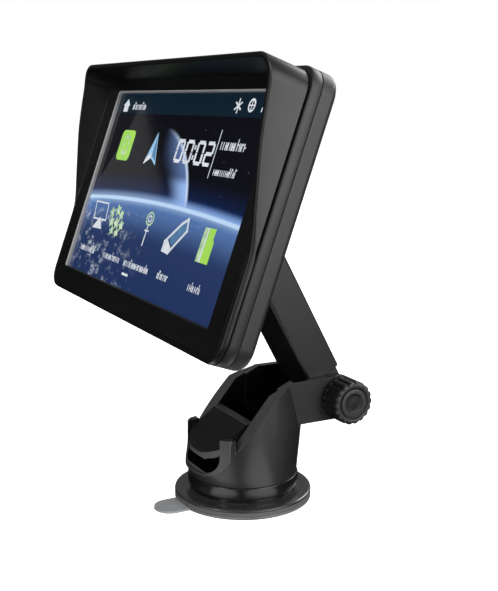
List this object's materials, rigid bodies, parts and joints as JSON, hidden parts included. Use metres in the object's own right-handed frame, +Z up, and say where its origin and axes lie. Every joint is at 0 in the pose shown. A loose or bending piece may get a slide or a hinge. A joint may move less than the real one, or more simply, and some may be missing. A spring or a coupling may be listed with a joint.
{
  "type": "portable gps navigator",
  "caption": "Seven-inch in-car navigation display with a fixed sun hood, on a hinged telescopic arm with a ball joint and a lever-locked suction base.",
  "frame": {"origin": "centre of the suction face, on the surface that the base is stuck to", "axes": "+Z up out of the mounting surface, the screen faces -Y, the hinge knob is on +X"},
  "size_m": [0.1837, 0.1106, 0.1945],
  "materials": {
    "case_black": "fine moulded grain, satin",
    "case_satin": "satin moulded",
    "screen_glass": "polished touch glass",
    "gasket_black": "matt foam",
    "panel_dark": "lit display",
    "tray_metal": "stamped tinplate",
    "board_green": "solder mask",
    "speaker_black": "moulded",
    "ceramic": "fired ceramic",
    "copper_film": "flexible circuit",
    "mic_metal": "can",
    "screw_steel": "black oxide",
    "ball_black": "polished",
    "acetal": "natural acetal",
    "grip_black": "satin with grips",
    "arm_black": "satin moulded",
    "bright_steel": "zinc plated",
    "base_grey": "satin moulded",
    "ring_gloss": "high gloss",
    "cup_rubber": "satin thermoplastic rubber",
    "gel_clear": "tacky gel"
  },
  "bodies": {
    "base": {"base_housing": "base_grey", "base_ring": "ring_gloss", "ring_screws": "screw_steel", "suction_cup": "cup_rubber", "gel_pad": "gel_clear", "hinge_nut": "bright_steel", "return_spring": "bright_steel"},
    "stem": {"suction_stem": "bright_steel", "lever_pin": "bright_steel"},
    "lever": {"suction_lever": "base_grey"},
    "knob": {"hinge_knob": "grip_black", "hinge_bolt": "bright_steel"},
    "arm": {"arm_tube": "arm_black", "detent_spring": "bright_steel", "hinge_washers": "bright_steel"},
    "extension": {"arm_extension": "arm_black", "slide_pads": "acetal"},
    "nut": {"clamp_nut": "grip_black"},
    "seat": {"ball_seat": "acetal"},
    "stud": {"ball_stud": "ball_black"},
    "screen": {"mount_plate": "case_satin", "plate_screws": "screw_steel", "hood_bezel": "case_black", "middle_frame": "case_satin", "rear_cover": "case_satin", "touch_glass": "screen_glass", "glass_gasket": "gasket_black", "lcd_panel": "panel_dark", "backlight_tray": "tray_metal", "main_board": "board_green", "rf_shield": "tray_metal", "speaker": "speaker_black", "gnss_antenna": "ceramic", "wifi_antenna": "copper_film", "microphone": "mic_metal", "usb_socket": "tray_metal", "aux_socket": "speaker_black", "camera_socket": "speaker_black", "card_socket": "tray_metal", "power_switch": "tray_metal", "board_screws": "screw_steel", "case_screws": "screw_steel"},
    "power_button": {"power_button": "case_satin"}
  },
  "joints": [
    {"name": "stem_lift", "type": "slide", "parent": "base", "child": "stem", "axis": [0, 0, 1], "range_m": [-0.0022, 0], "deforming": ["return_spring", "suction_cup"]},
    {"name": "lever_swing", "type": "hinge", "parent": "stem", "child": "lever", "pos_m": [0, 0, 0.03], "axis": [-1, 0, 0], "range_deg": [0, 75]},
    {"name": "knob_turn", "type": "hinge", "parent": "base", "child": "knob", "pos_m": [0, 0.0405, 0.0452], "axis": [1, 0, 0], "continuous": true},
    {"name": "arm_pitch", "type": "hinge", "parent": "base", "child": "arm", "pos_m": [0, 0.0405, 0.0452], "axis": [1, 0, 0], "range_deg": [-75, 30]},
    {"name": "arm_extend", "type": "slide", "parent": "arm", "child": "extension", "axis": [0, -0.4848, 0.8746], "range_m": [0, 0.04]},
    {"name": "nut_turn", "type": "hinge", "parent": "extension", "child": "nut", "pos_m": [0, -0.01306, 0.12511], "axis": [0, -0.9415, 0.3371], "range_deg": [0, 120]},
    {"name": "screen_tilt", "type": "hinge", "parent": "extension", "child": "seat", "pos_m": [0, -0.01306, 0.12511], "axis": [1, 0, 0], "range_deg": [-15, 15]},
    {"name": "screen_swivel", "type": "hinge", "parent": "seat", "child": "stud", "pos_m": [0, -0.01306, 0.12511], "axis": [0, 0.3371, 0.9415], "range_deg": [-15, 15]},
    {"name": "screen_roll", "type": "hinge", "parent": "stud", "child": "screen", "pos_m": [0, -0.01306, 0.12511], "axis": [0, -0.9415, 0.3371], "range_deg": [-30, 30]},
    {"name": "power_press", "type": "slide", "parent": "screen", "child": "power_button", "axis": [1, 0, 0], "range_m": [0, 0.0006], "stiffness_N_per_m": 1200}
  ],
  "couplings": [
    {"joint": "lever_swing", "follows": "stem_lift", "rad_per_m": -594.99}
  ]
}
